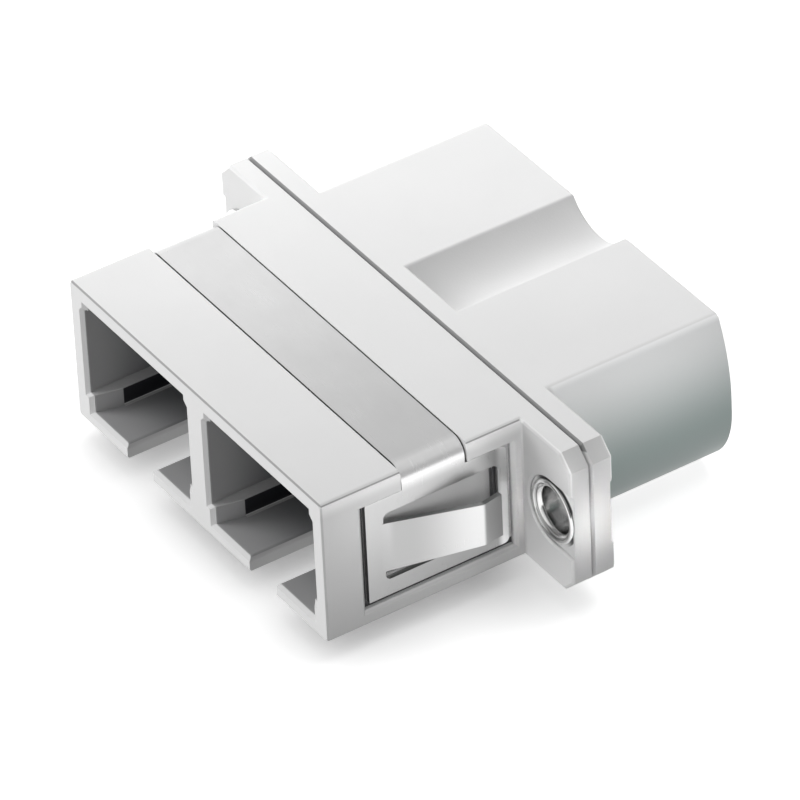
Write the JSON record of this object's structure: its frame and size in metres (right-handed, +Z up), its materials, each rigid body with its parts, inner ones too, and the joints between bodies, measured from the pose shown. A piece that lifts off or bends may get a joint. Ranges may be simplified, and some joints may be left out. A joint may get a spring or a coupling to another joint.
{
  "type": "hybrid fibre adapter",
  "caption": "Duplex push-pull to wide grooved receptacle fibre adapter with a two-plate flange, hollow eyelets and a sprung sheet-metal panel clip.",
  "frame": {"origin": "midway between the two panel holes, on the plane where the two flange plates meet", "axes": "+X to the right along the flange, +Y to the rear along the ferrules, towards the grooved receptacle, +Z up, to the side with the groove and the clip's band"},
  "size_m": [0.0352, 0.0273, 0.011],
  "materials": {
    "housing": "satin light grey moulding",
    "spring_steel": "bright rolled sheet",
    "plated_eyelet": "bright nickel plate",
    "insert": "dark moulding",
    "sleeve": "polished white ceramic"
  },
  "bodies": {
    "root": {"front_housing": "housing", "rear_housing": "housing", "panel_clip": "spring_steel", "eyelet_left": "plated_eyelet", "eyelet_right": "plated_eyelet", "sc_latch_left": "insert", "sc_latch_right": "insert", "rear_sleeve_holder_left": "insert", "rear_sleeve_holder_right": "insert", "alignment_sleeve_left": "sleeve", "alignment_sleeve_right": "sleeve"}
  },
  "joints": []
}
